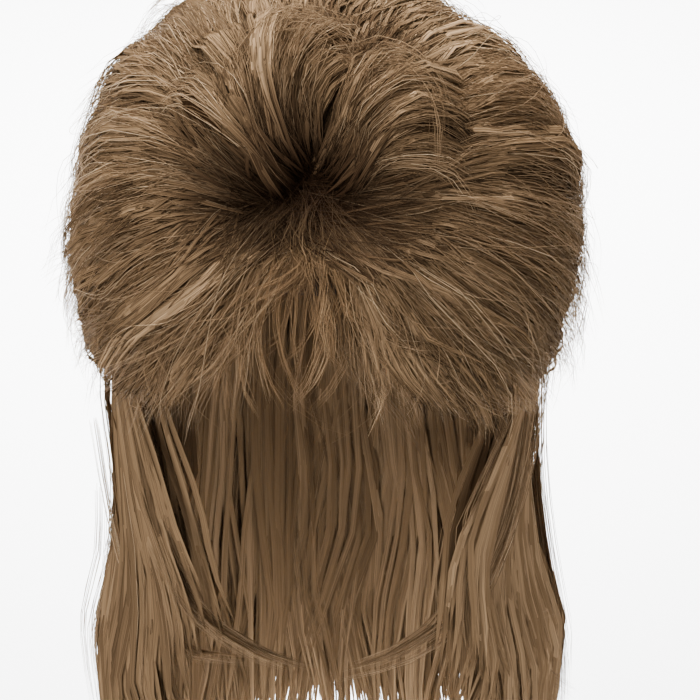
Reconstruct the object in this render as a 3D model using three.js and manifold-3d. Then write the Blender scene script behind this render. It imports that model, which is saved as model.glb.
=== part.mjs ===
import * as THREE from "three";
import { mergeVertices } from "three/addons/utils/BufferGeometryUtils.js";
import Module from "manifold-3d";

// A mullet wig, short and teased on top and long at the back, on a thin stretch cap with an open
// hollow for the head. Millimetres, +Z up, the face looks along -Y and +X is the wearer's left.
// The origin is the inside of the cap at the top of the head.

// The cap, by the head that it fits.
const HEAD_WIDTH = 156;
const HEAD_LENGTH = 196;
const HEAD_DOME = 95; // from the top of the head down to its widest level
const NAPE_TAPER = 110; // the lower half-ellipsoid that narrows the cap towards the nape
const CAP_WALL = 1.6;
const CLEARANCE = 0.5; // between pieces that lie on each other

// The short hair: its depth over the cap and where it springs from.
const WHORL_RISE = 50; // degrees above the brow direction
const WHORL_SIDE = -4; // degrees towards the wearer's right
const ROOT_DEPTH = 6; // backing over the cap at the whorl
const PUFF_DEPTH = 15; // backing over the cap at the sides and back
const PUFF_START = 65; // degrees from the whorl where the backing has its full depth
const CROWN_LIFT = 22; // height of a full crown lock's middle over the cap
const CROWN_THICKNESS = 17;
const UNDER_LIFT = 16;
const UNDER_THICKNESS = 15;
const FRINGE_BAND = 4.5;
const FRINGE_LIFT = 7;
const FRINGE_THICKNESS = 4;
const SIDE_LIFT = 13;
const SIDE_THICKNESS = 13;
const BACK_LIFT = 15;
const BACK_THICKNESS = 14;

// The long hair.
const TAIL_DROP = 300; // from the head's widest level to the lowest tip
const TAIL_WIDTH = 34;
const TAIL_THICKNESS = 14;
const TAIL_BAND = 7;
const TAIL_BAND_RISE = 0.3; // radians over the cap's edge
const WISP_WIDTH = 9;
const WISP_THICKNESS = 5;

// How finely the solids are faceted.
const CAP_SEGMENTS = 32;
const CAP_ROWS = 6;
const LOCK_STEPS = 6;

// The cap's lower edge. down is the depth under the top of the head, as a share of HEAD_DOME.
const CAP_EDGE = [
  { azimuth: 0, down: 0.5 },
  { azimuth: 25, down: 0.53 },
  { azimuth: 48, down: 0.68 },
  { azimuth: 62, down: 0.94 },
  { azimuth: 73, down: 1.2 },
  { azimuth: 82, down: 1.18 },
  { azimuth: 93, down: 1.05 },
  { azimuth: 108, down: 1.12 },
  { azimuth: 124, down: 1.36 },
  { azimuth: 146, down: 1.54 },
  { azimuth: 180, down: 1.6 },
];

// Where the crown's hair ends and the lower rows of hair begin, in degrees from straight up.
const CROWN_EDGE = [
  { azimuth: 0, polar: 38 },
  { azimuth: 28, polar: 44 },
  { azimuth: 50, polar: 62 },
  { azimuth: 72, polar: 76 },
  { azimuth: 100, polar: 84 },
  { azimuth: 180, polar: 94 },
];

// The lower hem of the short hair, in degrees from the whorl. turn is the way that hair leaves the
// whorl, in degrees from straight back, on either side.
const HEM = [
  { turn: 0, away: 119 },
  { turn: 60, away: 116 },
  { turn: 92, away: 110 },
  { turn: 108, away: 98 },
  { turn: 118, away: 86 },
  { turn: 128, away: 69 },
  { turn: 139, away: 56 },
  { turn: 152, away: 47 },
  { turn: 180, away: 40.5 },
];

// The crown's upper locks. turn is as in HEM, and positive towards the wearer's left. start is in
// degrees from the whorl and reach a share of the way to the hem. crest, width and thick are shares
// of CROWN_LIFT, TAIL_WIDTH and CROWN_THICKNESS, and bend turns the tip aside in degrees.
const CROWN_LOCKS = [
  { turn: -137, start: 7, reach: 0.98, crest: 0.6, bend: 3, width: 0.95, thick: 0.75 },
  { turn: -121, start: 6, reach: 0.95, crest: 0.85, bend: 6, width: 1.1, thick: 1.0 },
  { turn: -99, start: 6, reach: 0.86, crest: 1.05, bend: 4, width: 1.25, thick: 1.05 },
  { turn: -76, start: 6, reach: 0.76, crest: 1.15, bend: -4, width: 1.25, thick: 1.05 },
  { turn: -52, start: 7, reach: 0.68, crest: 1.35, bend: -12, width: 1.4, thick: 1.15 },
  { turn: -28, start: 8, reach: 0.65, crest: 1.3, bend: -8, width: 1.35, thick: 1.1 },
  { turn: -5, start: 11, reach: 0.62, crest: 1.25, bend: 10, width: 1.2, thick: 1.1 },
  { turn: 27, start: 9, reach: 0.64, crest: 1.25, bend: 12, width: 1.3, thick: 1.1 },
  { turn: 51, start: 6, reach: 0.68, crest: 1.3, bend: 14, width: 1.45, thick: 1.15 },
  { turn: 77, start: 9, reach: 0.76, crest: 1.2, bend: 4, width: 1.25, thick: 1.05 },
  { turn: 100, start: 6, reach: 0.86, crest: 1.1, bend: -2, width: 1.25, thick: 1.05 },
  { turn: 122, start: 6, reach: 0.95, crest: 0.85, bend: -5, width: 1.1, thick: 1.0 },
  { turn: 138, start: 7, reach: 0.98, crest: 0.6, bend: -4, width: 0.95, thick: 0.75 },
];

// The crown's under locks, seen between the upper ones and past their ends.
const UNDER_LOCKS = { count: 11, from: -108, to: 108, start: 42, reach: 0.93, width: 1.7 };

// The fringe's locks. curl turns the tip aside in degrees.
const FRINGE_LOCKS = [
  { turn: 148, start: 12, reach: 1.0, curl: -9, width: 0.5 },
  { turn: 157, start: 11, reach: 1.04, curl: 8, width: 0.4 },
  { turn: 166, start: 11, reach: 1.02, curl: 16, width: 0.38 },
  { turn: 178, start: 10, reach: 0.93, curl: 8, width: 0.24 },
  { turn: 190, start: 10, reach: 0.98, curl: 8, width: 0.3 },
  { turn: 200, start: 11, reach: 1.05, curl: -4, width: 0.38 },
  { turn: 211, start: 12, reach: 1.02, curl: 10, width: 0.5 },
];

// The side hair of one side, from the temple back over the ear. start and reach are shares of the
// way to the hem, and lift a share of SIDE_LIFT.
const SIDE_LOCKS = [
  { turn: 127, start: 0.78, reach: 1.06, lift: 0.9, width: 0.8 },
  { turn: 119, start: 0.82, reach: 1.1, lift: 1.0, width: 0.85 },
  { turn: 109, start: 0.84, reach: 1.12, lift: 1.0, width: 0.9 },
];

// The back hair, over the roots of the long hair.
const BACK_LOCKS = { count: 7, from: -76, to: 76, start: 108, reach: 1.25, width: 1.35 };

// The form that the long hair hangs in. down is a share of TAIL_DROP under the widest level, side
// and back are shares of the head's half width and half length.
const TAIL_FORM = [
  { down: -0.17, side: 0.98, back: 1.02 },
  { down: 0, side: 1.02, back: 1.05 },
  { down: 0.19, side: 0.99, back: 0.94 },
  { down: 0.37, side: 1.0, back: 0.85 },
  { down: 0.6, side: 1.19, back: 0.82 },
  { down: 1, side: 1.15, back: 0.77 },
];

// Where the backings lie on the cap, in degrees from the front.
const FRINGE_SPAN = 44;
const SIDE_SPAN = { from: 42, to: 108 };
const BACK_SPAN = { from: 104, to: 256 };
const TAIL_SPLIT = { front: 66, middle: 118, back: 180 };

// The long locks. azimuth is where a lock hangs, in degrees from the front. top and tip are shares
// of TAIL_DROP under the widest level, swing turns the tip forward in degrees, out is a share of
// TAIL_THICKNESS that the lock stands out, and width a share of TAIL_WIDTH.
const TAIL_SIDE_LOCKS = [
  { azimuth: 76, top: 0.025, tip: 0.54, swing: 41, out: -0.1, width: 0.65 },
  { azimuth: 85, top: 0.0, tip: 0.82, swing: 40, out: 0.05, width: 0.95 },
  { azimuth: 98, top: -0.015, tip: 0.95, swing: 24, out: 0.2, width: 1.05 },
  { azimuth: 114, top: -0.015, tip: 0.98, swing: 12, out: 0.1, width: 1.05 },
];
const TAIL_BACK_LOCKS = [
  { azimuth: 128, top: 0.035, tip: 0.96, swing: 5, out: 0.15, width: 1.05 },
  { azimuth: 147, top: 0.07, tip: 1.0, swing: 3, out: 0.0, width: 1.2 },
  { azimuth: 167, top: 0.085, tip: 0.98, swing: 2, out: 0.15, width: 1.2 },
];

// The thin wisps that come forward under the chin from the long side hair. across, front and down
// are shares of the head's half width, the head's half length and TAIL_DROP.
const CHIN_WISP = [
  { across: 1.0, front: 0.1, down: 0.26 },
  { across: 0.72, front: 0.38, down: 0.38 },
  { across: 0.4, front: 0.52, down: 0.45 },
  { across: 0.07, front: 0.58, down: 0.5 },
];

const wasm = await Module();
wasm.setup();

const HEAD_CENTRE = new THREE.Vector3(0, 0, -HEAD_DOME);
const HALF_WIDTH = HEAD_WIDTH / 2;
const HALF_LENGTH = HEAD_LENGTH / 2;
const rad = THREE.MathUtils.degToRad;
const lerp = THREE.MathUtils.lerp;
const smooth = (t) => THREE.MathUtils.smoothstep(t, 0, 1);

// A column of a table, eased between the rows on either side of at.
function read(table, key, at, column) {
  const last = table.length - 1;
  let row = 0;
  while (row < last - 1 && table[row + 1][key] < at) row += 1;
  const [a, b] = [table[row], table[row + 1]];
  return lerp(a[column], b[column], smooth((at - a[key]) / (b[key] - a[key])));
}

// A point on the head form, grown outwards. azimuth is 0 at the front and polar 0 at the top.
function onHead(azimuth, polar, grow) {
  const height = (polar < Math.PI / 2 ? HEAD_DOME : NAPE_TAPER) + grow;
  const across = Math.sin(polar);
  return new THREE.Vector3(
    (HALF_WIDTH + grow) * across * Math.sin(azimuth),
    -(HALF_LENGTH + grow) * across * Math.cos(azimuth),
    -HEAD_DOME + height * Math.cos(polar),
  );
}

// Degrees from the front on either side, from 0 to 180.
function fromFront(azimuth) {
  const turned = THREE.MathUtils.euclideanModulo(azimuth, 2 * Math.PI);
  return THREE.MathUtils.radToDeg(Math.min(turned, 2 * Math.PI - turned));
}

function edgePolar(azimuth) {
  const under = (read(CAP_EDGE, "azimuth", fromFront(azimuth), "down") - 1) * HEAD_DOME;
  return Math.acos(-under / (under < 0 ? HEAD_DOME : NAPE_TAPER));
}

function crownPolar(azimuth) {
  return rad(read(CROWN_EDGE, "azimuth", fromFront(azimuth), "polar"));
}

// Degrees from the whorl to the hem, for hair that leaves the whorl at a turn.
function hemAway(turn) {
  return read(HEM, "turn", fromFront(rad(turn)), "away");
}

function underCrown(azimuth) {
  return crownPolar(azimuth) + (2 * CLEARANCE) / HALF_WIDTH;
}

// The whorl's frame: away from the head, straight back over the top, and to the wearer's left.
const UP = new THREE.Vector3(0, 0, 1);
const whorlOut = new THREE.Vector3(0, -Math.cos(rad(WHORL_RISE)), Math.sin(rad(WHORL_RISE)));
const whorlLeft = new THREE.Vector3(1, 0, 0).applyAxisAngle(UP, rad(WHORL_SIDE));
whorlOut.applyAxisAngle(UP, rad(WHORL_SIDE));
const whorlBack = new THREE.Vector3().crossVectors(whorlOut, whorlLeft);

// How far the head form's surface is from its centre, in a direction.
function headRadius(way) {
  const height = way.z > 0 ? HEAD_DOME : NAPE_TAPER;
  return 1 / Math.hypot(way.x / HALF_WIDTH, way.y / HALF_LENGTH, way.z / height);
}

// A point over the head by its angle from the whorl, the turn round it and its lift off the head.
function fromWhorl(away, turn, lift) {
  const way = whorlOut.clone().multiplyScalar(Math.cos(away));
  way.addScaledVector(whorlBack, Math.sin(away) * Math.cos(turn));
  way.addScaledVector(whorlLeft, Math.sin(away) * Math.sin(turn));
  return way.multiplyScalar(headRadius(way) + lift).add(HEAD_CENTRE);
}

// The direction away from the head at a point, level under the head's widest part.
function outwardAt(point) {
  const up = Math.max(0, point.z + HEAD_DOME);
  return new THREE.Vector3(
    point.x / HALF_WIDTH ** 2,
    point.y / HALF_LENGTH ** 2,
    up / HEAD_DOME ** 2,
  ).normalize();
}

// A closed geometry as a solid, with the collapsed triangles at its poles left out.
function solidOf(geometry) {
  geometry.deleteAttribute("normal");
  geometry.deleteAttribute("uv");
  const merged = mergeVertices(geometry, 1e-4);
  const corners = [];
  for (let i = 0; i < merged.index.count; i += 3) {
    const [a, b, c] = [0, 1, 2].map((k) => merged.index.getX(i + k));
    if (a !== b && b !== c && c !== a) corners.push(a, b, c);
  }
  return new wasm.Manifold(
    new wasm.Mesh({
      numProp: 3,
      vertProperties: new Float32Array(merged.attributes.position.array),
      triVerts: new Uint32Array(corners),
    }),
  );
}

function joined(solids) {
  return solids.reduce((whole, one) => whole.add(one));
}

// A turned body whose profile has places rows, each put in place by its azimuth and row.
function turned(rows, place) {
  const profile = [];
  for (let row = 0; row < rows; row += 1) {
    profile.push(new THREE.Vector2(row % (rows - 1) ? 1 : 0, row));
  }
  const geometry = new THREE.LatheGeometry(profile, CAP_SEGMENTS);
  const position = geometry.attributes.position;
  for (let i = 0; i < position.count; i += 1) {
    const step = Math.floor(i / rows) % CAP_SEGMENTS;
    const point = place((step / CAP_SEGMENTS) * 2 * Math.PI, i % rows);
    position.setXYZ(i, point.x, point.y, point.z);
  }
  return solidOf(geometry);
}

// A dome between an inner and an outer growth over the head, down to an edge.
function dome(inner, outer, edge) {
  const rows = CAP_ROWS + 1;
  return turned(2 * rows, (azimuth, row) => {
    const inside = row < rows;
    const share = (inside ? row : 2 * rows - 1 - row) / CAP_ROWS;
    const polar = share * edge(azimuth);
    return onHead(azimuth, polar, inside ? inner : outer(azimuth, polar));
  });
}

// The space that the head and the cap take, kept clear of all hair. Its facets match the cap's.
function headSpace() {
  const under = 4;
  const rows = CAP_ROWS + under + 1;
  return turned(rows, (azimuth, row) => {
    const edge = edgePolar(azimuth);
    const past = rows - 1 - row - CAP_ROWS;
    const polar = past > 0 ? lerp(edge, Math.PI, past / under) : ((rows - 1 - row) / CAP_ROWS) * edge;
    return onHead(azimuth, polar, CAP_WALL + CLEARANCE);
  });
}

// A curved slab of hair on the cap between two azimuths and two polar edges.
function slab({ from, to, top, bottom, depth, columns, rows }, grow) {
  const geometry = new THREE.BoxGeometry(1, 1, 1, columns, rows, 1);
  const position = geometry.attributes.position;
  for (let i = 0; i < position.count; i += 1) {
    const [across, up] = [position.getX(i), position.getY(i)];
    const wider = grow / HALF_WIDTH;
    const azimuth = rad(lerp(from, to, across + 0.5));
    const polar = lerp(bottom(azimuth), top(azimuth), up + 0.5) - 3.6 * wider * up;
    const aside = Math.abs(across) > 0.499 ? wider * Math.sign(across) : 0;
    const lift = position.getZ(i) > 0 ? CAP_WALL + depth + grow : CAP_WALL / 2;
    const point = onHead(azimuth + aside, polar, lift);
    position.setXYZ(i, point.x, point.y, point.z);
  }
  return solidOf(geometry);
}

// A flattened lock swept along a path, narrow at the root and tapering to its tip.
function lock({ path, width, thickness, steps = LOCK_STEPS, root = 0.5, tip = 0.14 }, grow) {
  const section = new THREE.Shape([
    new THREE.Vector2(-1, -0.15),
    new THREE.Vector2(0, -1),
    new THREE.Vector2(1, -0.15),
    new THREE.Vector2(0.45, 0.95),
    new THREE.Vector2(-0.45, 0.95),
  ]);
  const geometry = new THREE.ExtrudeGeometry(section, { depth: 1, steps, bevelEnabled: false });
  const position = geometry.attributes.position;
  const belly = 0.42;
  for (let i = 0; i < position.count; i += 1) {
    const t = position.getZ(i);
    const at = path(t);
    const along = path(t + 0.01).sub(path(t - 0.01)).normalize();
    const past = t > 0.999 ? grow : t < 0.001 ? -grow : 0;
    const out = outwardAt(at);
    out.addScaledVector(along, -out.dot(along)).normalize();
    const aside = new THREE.Vector3().crossVectors(out, along);
    const full =
      t < belly
        ? lerp(root, 1, smooth(t / belly))
        : lerp(1, tip, Math.min(1, (t - belly) / (1 - belly)) ** 1.7);
    const across = position.getX(i) * ((width / 2) * full + grow);
    const cup = (across * across) / HEAD_LENGTH;
    at.addScaledVector(along, past);
    at.addScaledVector(aside, across);
    at.addScaledVector(out, position.getY(i) * ((thickness / 2) * full ** 0.7 + grow) - cup);
    position.setXYZ(i, at.x, at.y, at.z);
  }
  return solidOf(geometry);
}

// A path from the whorl over the head: it rises from the root to a crest and comes down to a tip.
function overHead({ turn, start, reach, bend = 0, root, crest, tip }) {
  return (t) => {
    const arch = Math.sin(Math.PI * THREE.MathUtils.clamp(t, 0, 1) ** 0.85);
    const lift = lerp(root, tip, t) + (crest - (root + tip) / 2) * arch;
    return fromWhorl(rad(lerp(start, reach, t)), rad(turn + bend * t * t), lift);
  };
}

// A path down the long hair's form, on one side of the head.
function hanging({ azimuth, top, tip, swing, out }, side) {
  return (t) => {
    const down = lerp(top, tip, t);
    const turn = side * rad(azimuth - swing * Math.max(0, t) ** 1.25);
    const stand = out * TAIL_THICKNESS * smooth(t * 3);
    const across = read(TAIL_FORM, "down", down, "side") * HALF_WIDTH + stand;
    const back = read(TAIL_FORM, "down", down, "back") * HALF_LENGTH + stand;
    return new THREE.Vector3(
      across * Math.sin(turn),
      -back * Math.cos(turn),
      -HEAD_DOME - down * TAIL_DROP,
    );
  };
}

function backingDepth(azimuth, polar) {
  const way = onHead(azimuth, polar, 0).sub(HEAD_CENTRE).normalize();
  const away = THREE.MathUtils.radToDeg(way.angleTo(whorlOut));
  return CAP_WALL + lerp(ROOT_DEPTH, PUFF_DEPTH, smooth(away / PUFF_START));
}

// Two angles from the front as a rising pair on one side of the head.
function onSide(from, to, side) {
  return side > 0 ? [from, to] : [-to, -from];
}

function spread({ count, from, to }, index) {
  return lerp(from, to, index / (count - 1));
}

function crownHair(grow) {
  const parts = [
    dome(CAP_WALL / 2, (azimuth, polar) => backingDepth(azimuth, polar) + grow, (azimuth) =>
      crownPolar(azimuth) + grow / HALF_WIDTH,
    ),
  ];
  for (const row of CROWN_LOCKS) {
    const path = overHead({
      ...row,
      reach: row.reach * hemAway(row.turn),
      root: ROOT_DEPTH,
      crest: row.crest * CROWN_LIFT,
      tip: CROWN_LIFT * 0.55,
    });
    const thickness = row.thick * CROWN_THICKNESS;
    parts.push(lock({ path, width: row.width * TAIL_WIDTH, thickness }, grow));
  }
  for (let i = 0; i < UNDER_LOCKS.count; i += 1) {
    const turn = spread(UNDER_LOCKS, i);
    const path = overHead({
      turn,
      start: UNDER_LOCKS.start,
      reach: UNDER_LOCKS.reach * hemAway(turn) + (i % 2 ? 4 : -3),
      bend: i % 3 ? 5 : -5,
      root: PUFF_DEPTH / 2,
      crest: UNDER_LIFT,
      tip: UNDER_LIFT * 0.6,
    });
    const width = UNDER_LOCKS.width * TAIL_WIDTH;
    parts.push(lock({ path, width, thickness: UNDER_THICKNESS, steps: 4 }, grow));
  }
  return joined(parts);
}

function fringe(grow) {
  const [from, to] = [-FRINGE_SPAN, FRINGE_SPAN];
  const band = { from, to, top: underCrown, bottom: edgePolar, columns: 6, rows: 1 };
  const parts = [slab({ ...band, depth: FRINGE_BAND }, grow)];
  for (const row of FRINGE_LOCKS) {
    const path = overHead({
      turn: row.turn,
      start: row.start,
      reach: row.reach * hemAway(row.turn),
      bend: row.curl,
      root: FRINGE_BAND,
      crest: FRINGE_LIFT * 1.2,
      tip: FRINGE_LIFT,
    });
    const width = row.width * TAIL_WIDTH;
    parts.push(lock({ path, width, thickness: FRINGE_THICKNESS, steps: 4, root: 0.8 }, grow));
  }
  return joined(parts);
}

function sideHair(side, grow) {
  const [from, to] = onSide(SIDE_SPAN.from, SIDE_SPAN.to, side);
  const backing = { from, to, top: underCrown, bottom: edgePolar, columns: 5, rows: 3 };
  const parts = [slab({ ...backing, depth: SIDE_LIFT * 0.6 }, grow)];
  for (const row of SIDE_LOCKS) {
    const path = overHead({
      turn: side * row.turn,
      start: row.start * hemAway(row.turn),
      reach: row.reach * hemAway(row.turn),
      bend: -side * 6,
      root: SIDE_LIFT * 0.4,
      crest: row.lift * SIDE_LIFT * 0.85,
      tip: row.lift * SIDE_LIFT * 0.7,
    });
    const width = row.width * TAIL_WIDTH;
    parts.push(lock({ path, width, thickness: SIDE_THICKNESS, steps: 3 }, grow));
  }
  return joined(parts);
}

function backHair(grow) {
  const bottom = (azimuth) => lerp(crownPolar(azimuth), edgePolar(azimuth), 0.62);
  const backing = { ...BACK_SPAN, top: underCrown, bottom, columns: 10, rows: 2 };
  const parts = [slab({ ...backing, depth: BACK_LIFT * 0.6 }, grow)];
  for (let i = 0; i < BACK_LOCKS.count; i += 1) {
    const turn = spread(BACK_LOCKS, i);
    const path = overHead({
      turn,
      start: BACK_LOCKS.start,
      reach: BACK_LOCKS.reach * hemAway(turn) + (i % 2 ? 4 : -4),
      root: BACK_LIFT * 0.5,
      crest: BACK_LIFT,
      tip: BACK_LIFT,
    });
    const width = BACK_LOCKS.width * TAIL_WIDTH;
    parts.push(lock({ path, width, thickness: BACK_THICKNESS, steps: 3 }, grow));
  }
  return joined(parts);
}

// The route of a wisp across the front of the neck, to one side.
function wispPath(side) {
  const points = CHIN_WISP.map(
    (row) =>
      new THREE.Vector3(
        side * row.across * HALF_WIDTH,
        -row.front * HALF_LENGTH,
        -HEAD_DOME - row.down * TAIL_DROP,
      ),
  );
  const curve = new THREE.CatmullRomCurve3(points);
  return (t) => curve.getPoint(THREE.MathUtils.clamp(t, 0, 1));
}

// The long hair between two azimuths of one side, sewn to the lower cap by its band.
function tail(rows, from, to, side, grow) {
  const [low, high] = onSide(from, to, side);
  const top = (azimuth) => edgePolar(azimuth) - TAIL_BAND_RISE;
  const band = { from: low, to: high, top, bottom: edgePolar, columns: 5, rows: 2 };
  const parts = [slab({ ...band, depth: TAIL_BAND }, grow)];
  for (const row of rows) {
    const path = hanging(row, side);
    const width = row.width * TAIL_WIDTH;
    parts.push(lock({ path, width, thickness: TAIL_THICKNESS, steps: 7, root: 0.7 }, grow));
  }
  return joined(parts);
}

function tailSide(side, grow) {
  const wisp = { path: wispPath(side), width: WISP_WIDTH, thickness: WISP_THICKNESS, root: 0.9 };
  return tail(TAIL_SIDE_LOCKS, TAIL_SPLIT.front, TAIL_SPLIT.middle, side, grow).add(lock(wisp, grow));
}

function tailBack(side, grow) {
  return tail(TAIL_BACK_LOCKS, TAIL_SPLIT.middle, TAIL_SPLIT.back, side, grow);
}

// The largest body of a cut solid: a cut can leave crumbs loose.
function largest(solid) {
  return solid.decompose().reduce((best, one) => (one.volume() > best.volume() ? one : best));
}

const hairMaterial = new THREE.MeshStandardMaterial({ color: "#85694b", roughness: 0.55 });
const fringeMaterial = new THREE.MeshStandardMaterial({ color: "#8f7250", roughness: 0.55 });
const tailMaterial = new THREE.MeshStandardMaterial({ color: "#7a6048", roughness: 0.5 });
const capMaterial = new THREE.MeshStandardMaterial({ color: "#2a211b", roughness: 0.9 });

function mesh(name, solid, material) {
  const { vertProperties, triVerts } = solid.getMesh();
  const geometry = new THREE.BufferGeometry();
  geometry.setAttribute("position", new THREE.BufferAttribute(vertProperties, 3));
  geometry.setIndex(new THREE.BufferAttribute(triVerts, 1));
  const made = new THREE.Mesh(geometry, material);
  made.name = name;
  return made;
}

// Each row of hair overlies the ones after it, which are cut back from it by the clearance.
const ROWS = [
  ["crown_hair", crownHair, hairMaterial],
  ["fringe", fringe, fringeMaterial],
  ["side_hair_left", (grow) => sideHair(1, grow), hairMaterial],
  ["side_hair_right", (grow) => sideHair(-1, grow), hairMaterial],
  ["back_hair", backHair, hairMaterial],
  ["tail_left", (grow) => tailSide(1, grow), tailMaterial],
  ["tail_right", (grow) => tailSide(-1, grow), tailMaterial],
  ["tail_back_left", (grow) => tailBack(1, grow), tailMaterial],
  ["tail_back_right", (grow) => tailBack(-1, grow), tailMaterial],
];

const wig = new THREE.Group();
wig.name = "mullet_wig";
wig.add(mesh("cap", dome(0, () => CAP_WALL, edgePolar), capMaterial));
let taken = headSpace();
for (const [name, build, material] of ROWS) {
  wig.add(mesh(name, largest(build(0).subtract(taken)), material));
  taken = taken.add(build(CLEARANCE));
}

export default wig;
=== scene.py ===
import math

import bmesh
import bpy
import numpy as np
from mathutils import Matrix, Vector


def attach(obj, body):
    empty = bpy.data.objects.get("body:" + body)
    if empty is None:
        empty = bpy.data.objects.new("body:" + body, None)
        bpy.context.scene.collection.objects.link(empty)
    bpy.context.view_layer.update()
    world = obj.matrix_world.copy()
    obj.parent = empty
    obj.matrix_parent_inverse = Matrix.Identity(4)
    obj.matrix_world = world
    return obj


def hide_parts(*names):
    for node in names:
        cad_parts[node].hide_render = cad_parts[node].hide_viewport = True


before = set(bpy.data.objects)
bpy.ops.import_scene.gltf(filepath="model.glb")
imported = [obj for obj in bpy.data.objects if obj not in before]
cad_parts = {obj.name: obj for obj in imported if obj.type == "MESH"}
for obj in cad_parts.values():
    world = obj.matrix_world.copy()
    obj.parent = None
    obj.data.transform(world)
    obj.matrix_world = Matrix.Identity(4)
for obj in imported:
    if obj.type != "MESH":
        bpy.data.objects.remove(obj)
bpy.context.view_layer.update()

# The cap and the head that it fits.
HEAD_WIDTH = 0.156
HEAD_LENGTH = 0.196
HEAD_DOME = 0.095
NAPE_TAPER = 0.110
CAP_WALL = 0.0016

# The short hair: the whorl that it springs from, and its depth over the cap.
WHORL_RISE = 50
WHORL_SIDE = -4
ROOT_DEPTH = 0.006
PUFF_DEPTH = 0.015
PUFF_START = 65
CROWN_LIFT = 0.022
UNDER_LIFT = 0.016
FRINGE_LIFT = 0.007
SIDE_LIFT = 0.013
BACK_LIFT = 0.015
LOCK_WIDTH = 0.034

# The long hair.
TAIL_DROP = 0.300
TAIL_THICKNESS = 0.014

# The fibres: a real one is 0.08 mm thick, drawn coarser so that single ones show at this distance.
FIBRE_RADIUS = 0.00014
STRAY_RADIUS = 0.00011
FRINGE_RADIUS = 0.00013
FIBRE_SIDES = 3

# The strips, each of some combed fibres side by side. SHEET_WIDTH is the width that the fibre map
# holds, and STRIP_TONE the lightest tone of a strip.
STRIP_WIDTH = 0.0021
BACK_STRIP = 0.0032
TAIL_STRIP = 0.0028
WISP_STRIP = 0.0016
SHEET_WIDTH = 0.05
STRIP_TONE = 0.64

# Tones run from 0, dark, to 1, light, and stay inside this span.
TONE_SPAN = (0.02, 0.98)

# How near the head fibres and cores may come, and the gap between the cap and the backing.
LEAST_LIFT = 0.0035
CORE_LIFT = 0.004
CAP_GAP = 0.0004

# Where the loose hair begins to ease in, to the sides and to the front, and how far past that it
# can reach.
EASE_SIDE = 0.107
EASE_FRONT = 0.111
EASE_DEPTH = 0.0075

SEED = 41

# Rows of azimuth in degrees from the front and depth under the top as a share of HEAD_DOME.
CAP_EDGE = [
    (0, 0.5), (25, 0.53), (48, 0.68), (62, 0.94), (73, 1.2), (82, 1.18),
    (93, 1.05), (108, 1.12), (124, 1.36), (146, 1.54), (180, 1.6),
]

# Rows of azimuth in degrees from the front and degrees from straight up.
CORE_EDGE = [(0, 55), (28, 56), (50, 66), (72, 78), (100, 84), (180, 94)]

# Rows of turn round the whorl in degrees from straight back and degrees away from the whorl.
HEM = [
    (0, 119), (60, 116), (92, 110), (108, 98), (118, 86),
    (128, 69), (139, 56), (152, 47), (180, 40.5),
]

# The crown's sweeps, each from the whorl outwards: turn at the root, half way and at the tip, start
# in degrees from the whorl, reach as a share of the way to the hem, crest as a share of CROWN_LIFT.
CROWN_SWEEPS = [
    (-152, -149, -142, 5, 0.98, 0.5),
    (-140, -137, -129, 5, 1.0, 0.75),
    (-126, -121, -116, 5, 0.98, 0.85),
    (-114, -107, -105, 5, 0.94, 0.88),
    (-103, -95, -96, 5, 0.9, 1.0),
    (-92, -82, -87, 5, 0.84, 1.18),
    (-80, -67, -78, 6, 0.78, 1.4),
    (-64, -52, -68, 7, 0.74, 1.6),
    (-46, -36, -52, 9, 0.8, 1.5),
    (-24, -18, -30, 12, 0.86, 1.45),
    (-2, 0, -4, 16, 0.88, 1.4),
    (14, 22, 26, 19, 0.86, 1.4),
    (32, 42, 52, 16, 0.8, 1.55),
    (56, 58, 68, 10, 0.74, 1.7),
    (80, 72, 76, 6, 0.79, 1.65),
    (97, 86, 86, 5, 0.85, 1.4),
    (110, 99, 97, 5, 0.9, 1.25),
    (123, 111, 108, 5, 0.96, 1.05),
    (135, 124, 119, 5, 1.0, 0.9),
    (145, 138, 131, 5, 1.0, 0.7),
    (153, 150, 143, 5, 0.98, 0.5),
]

# Hair that stands up beside the whorl and rolls over, on either side of a dark cleft. Each path
# has degrees away from the whorl, turn round it and lift in millimetres.
CREST_RIGHT = [
    [(5, -95, 6), (11, -68, 22), (19, -57, 33), (28, -53, 35), (38, -57, 28)],
    [(5, -80, 6), (12, -52, 26), (20, -41, 36), (28, -37, 38), (37, -38, 30)],
    [(5, -60, 6), (13, -36, 27), (20, -22, 38), (28, -14, 39), (36, -10, 31)],
    [(6, -35, 6), (13, -20, 26), (20, -6, 37), (26, 5, 37), (30, 14, 29)],
    [(6, -10, 5), (12, -4, 21), (18, 6, 32), (21, 15, 31), (19, 22, 16)],
]
CREST_LEFT = [
    [(6, 50, 5), (10, 32, 19), (17, 27, 31), (24, 33, 35), (31, 46, 29)],
    [(6, 70, 6), (11, 45, 23), (19, 43, 34), (27, 49, 37), (36, 58, 30)],
    [(6, 86, 6), (12, 59, 22), (19, 58, 34), (27, 64, 35), (36, 72, 28)],
    [(6, 102, 6), (13, 80, 16), (20, 79, 25), (28, 84, 27), (37, 90, 22)],
]
RIM_RIGHT = [
    [(12, -50, 26), (20, -36, 37), (26, -13, 40), (25, 4, 38), (22, 15, 34), (17, 20, 20)],
    [(13, -44, 26), (18, -32, 35), (23, -12, 38), (22, 4, 36), (20, 13, 31), (15, 18, 17)],
]
RIM_LEFT = [
    [(11, 26, 25), (22, 22, 36), (26, 37, 38), (27, 53, 38), (26, 68, 37), (25, 84, 32)],
    [(11, 34, 25), (19, 26, 34), (23, 38, 37), (24, 53, 37), (23, 67, 35), (23, 82, 30)],
]

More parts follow.
